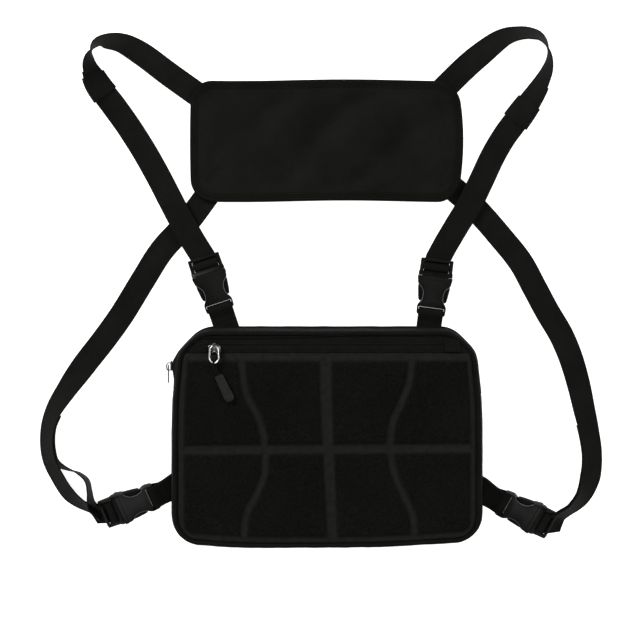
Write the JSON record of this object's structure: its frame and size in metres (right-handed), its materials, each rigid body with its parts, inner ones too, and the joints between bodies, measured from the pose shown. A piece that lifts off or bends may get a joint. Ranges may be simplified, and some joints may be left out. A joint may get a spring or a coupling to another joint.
{
  "type": "chest pack with webbing harness",
  "caption": "Flat-laid black chest pack with a moulded loop-field front, back panel and H-shaped webbing harness on side-release buckles.",
  "frame": {"origin": "centre of the pack's rear (chest) face, on the plane that the laid-out object rests on", "axes": "+Z out of the pack's front, +Y up the wearer's body from the pack to the back panel, +X to the viewer's right"},
  "size_m": [0.5549, 0.5212, 0.0636],
  "materials": {
    "pack_fabric": "plain-woven coated nylon, matte",
    "webbing": "flat nylon webbing, slight sheen",
    "loop_pile": "brushed hook-and-loop pile, dull",
    "spacer_mesh": "knitted spacer mesh",
    "foam": "closed-cell foam, sealed inside",
    "moulded_front": "fabric-faced moulded foam board",
    "zip_coil": "nylon coil and braided cord",
    "buckle_plastic": "satin moulded acetal with fine texture",
    "nickel": "bright die-cast zip hardware",
    "grip_rubber": "soft moulded grip"
  },
  "bodies": {
    "root": {"rear_panel": "spacer_mesh", "rear_foam": "foam", "rear_lining": "pack_fabric", "rear_binding": "pack_fabric", "bottom_gusset": "pack_fabric", "rear_zip_gusset": "pack_fabric", "main_zip_chain": "zip_coil", "front_zip_gusset": "pack_fabric", "pocket_divider": "pack_fabric", "front_piping": "pack_fabric", "front_frame": "pack_fabric", "front_backing": "moulded_front", "loop_panel": "loop_pile", "zip_surround": "pack_fabric", "front_zip_chain": "zip_coil", "zip_end_tab": "pack_fabric", "panel_rear_mesh": "spacer_mesh", "panel_foam": "foam", "panel_face": "pack_fabric", "panel_binding": "pack_fabric", "left_shoulder_socket": "buckle_plastic", "left_shoulder_tab": "webbing", "left_shoulder_strap": "webbing", "right_shoulder_socket": "buckle_plastic", "right_shoulder_tab": "webbing", "right_shoulder_strap": "webbing", "left_side_socket": "buckle_plastic", "left_side_tab": "webbing", "left_side_strap": "webbing", "right_side_socket": "buckle_plastic", "right_side_tab": "webbing", "right_side_strap": "webbing"},
    "left_shoulder_male": {"left_shoulder_male_half": "buckle_plastic"},
    "left_shoulder_arm_a": {"left_shoulder_arm_a": "buckle_plastic"},
    "left_shoulder_arm_b": {"left_shoulder_arm_b": "buckle_plastic"},
    "right_shoulder_male": {"right_shoulder_male_half": "buckle_plastic"},
    "right_shoulder_arm_a": {"right_shoulder_arm_a": "buckle_plastic"},
    "right_shoulder_arm_b": {"right_shoulder_arm_b": "buckle_plastic"},
    "left_side_male": {"left_side_male_half": "buckle_plastic"},
    "left_side_arm_a": {"left_side_arm_a": "buckle_plastic"},
    "left_side_arm_b": {"left_side_arm_b": "buckle_plastic"},
    "right_side_male": {"right_side_male_half": "buckle_plastic"},
    "right_side_arm_a": {"right_side_arm_a": "buckle_plastic"},
    "right_side_arm_b": {"right_side_arm_b": "buckle_plastic"},
    "front_slider": {"front_zip_slider": "nickel"},
    "front_bail": {"front_zip_bail": "nickel"},
    "front_pull": {"front_pull_cord": "zip_coil", "front_pull_grip": "grip_rubber"},
    "main_slider": {"main_zip_slider": "nickel"},
    "main_pull": {"main_zip_pull": "nickel"},
    "left_keeper": {"left_keeper": "webbing"},
    "right_keeper": {"right_keeper": "webbing"}
  },
  "joints": [
    {"name": "left_shoulder_release", "type": "slide", "parent": "root", "child": "left_shoulder_male", "axis": [-0.3156, 0.9489, 0], "range_m": [0, 0.028], "deforming": ["left_shoulder_strap", "left_shoulder_arm_a", "left_shoulder_arm_b"]},
    {"name": "left_shoulder_squeeze_a", "type": "hinge", "parent": "left_shoulder_male", "child": "left_shoulder_arm_a", "pos_m": [-0.12641, 0.15997, 0.0071], "axis": [0, 0, 1], "range_deg": [0, 9], "stiffness_Nm_per_rad": 1.2},
    {"name": "left_shoulder_squeeze_b", "type": "hinge", "parent": "left_shoulder_male", "child": "left_shoulder_arm_b", "pos_m": [-0.10971, 0.16553, 0.0071], "axis": [0, 0, -1], "range_deg": [0, 9], "stiffness_Nm_per_rad": 1.2},
    {"name": "right_shoulder_release", "type": "slide", "parent": "root", "child": "right_shoulder_male", "axis": [0.1288, 0.9917, 0], "range_m": [0, 0.028], "deforming": ["right_shoulder_strap", "right_shoulder_arm_a", "right_shoulder_arm_b"]},
    {"name": "right_shoulder_squeeze_a", "type": "hinge", "parent": "right_shoulder_male", "child": "right_shoulder_arm_a", "pos_m": [0.09919, 0.16051, 0.0071], "axis": [0, 0, 1], "range_deg": [0, 9], "stiffness_Nm_per_rad": 1.2},
    {"name": "right_shoulder_squeeze_b", "type": "hinge", "parent": "right_shoulder_male", "child": "right_shoulder_arm_b", "pos_m": [0.11665, 0.15825, 0.0071], "axis": [0, 0, -1], "range_deg": [0, 9], "stiffness_Nm_per_rad": 1.2},
    {"name": "left_side_release", "type": "slide", "parent": "root", "child": "left_side_male", "axis": [-0.9373, -0.3486, 0], "range_m": [0, 0.028], "deforming": ["left_side_strap", "left_side_arm_a", "left_side_arm_b"]},
    {"name": "left_side_squeeze_a", "type": "hinge", "parent": "left_side_male", "child": "left_side_arm_a", "pos_m": [-0.2031, -0.0781, 0.01047], "axis": [0.1636, -0.44, 0.8829], "range_deg": [0, 9], "stiffness_Nm_per_rad": 1.2},
    {"name": "left_side_squeeze_b", "type": "hinge", "parent": "left_side_male", "child": "left_side_arm_b", "pos_m": [-0.20851, -0.06353, 0.01873], "axis": [-0.1636, 0.44, -0.8829], "range_deg": [0, 9], "stiffness_Nm_per_rad": 1.2},
    {"name": "right_side_release", "type": "slide", "parent": "root", "child": "right_side_male", "axis": [0.9018, -0.4321, 0], "range_m": [0, 0.028], "deforming": ["right_side_strap", "right_side_arm_a", "right_side_arm_b"]},
    {"name": "right_side_squeeze_a", "type": "hinge", "parent": "right_side_male", "child": "right_side_arm_a", "pos_m": [0.21031, -0.0735, 0.01873], "axis": [-0.2029, -0.4234, 0.8829], "range_deg": [0, 9], "stiffness_Nm_per_rad": 1.2},
    {"name": "right_side_squeeze_b", "type": "hinge", "parent": "right_side_male", "child": "right_side_arm_b", "pos_m": [0.20359, -0.08751, 0.01047], "axis": [0.2029, 0.4234, -0.8829], "range_deg": [0, 9], "stiffness_Nm_per_rad": 1.2},
    {"name": "front_zip_travel", "type": "slide", "parent": "root", "child": "front_slider", "axis": [1, 0, 0], "range_m": [0, 0.217]},
    {"name": "front_bail_swing", "type": "hinge", "parent": "front_slider", "child": "front_bail", "pos_m": [-0.11, 0.091, 0.0591], "axis": [-1, 0, 0], "range_deg": [0, 150]},
    {"name": "front_pull_swing", "type": "hinge", "parent": "front_bail", "child": "front_pull", "pos_m": [-0.11, 0.0748, 0.0591], "axis": [-1, 0, 0], "range_deg": [0, 45]},
    {"name": "main_zip_travel", "type": "hinge", "parent": "root", "child": "main_slider", "pos_m": [-0.1165, 0.0715, 0.0273], "axis": [0, 0, -1], "range_deg": [0, 88]},
    {"name": "main_pull_swing", "type": "hinge", "parent": "main_slider", "child": "main_pull", "pos_m": [-0.1566, 0.0715, 0.0273], "axis": [0, 0, -1], "range_deg": [0, 120]},
    {"name": "left_keeper_slide", "type": "slide", "parent": "root", "child": "left_keeper", "axis": [0.4301, -0.8889, -0.1578], "range_m": [-0.006, 0.006], "deforming": ["left_shoulder_strap"]},
    {"name": "right_keeper_slide", "type": "slide", "parent": "root", "child": "right_keeper", "axis": [-0.5142, -0.8383, -0.1812], "range_m": [-0.006, 0.006], "deforming": ["right_shoulder_strap"]}
  ]
}
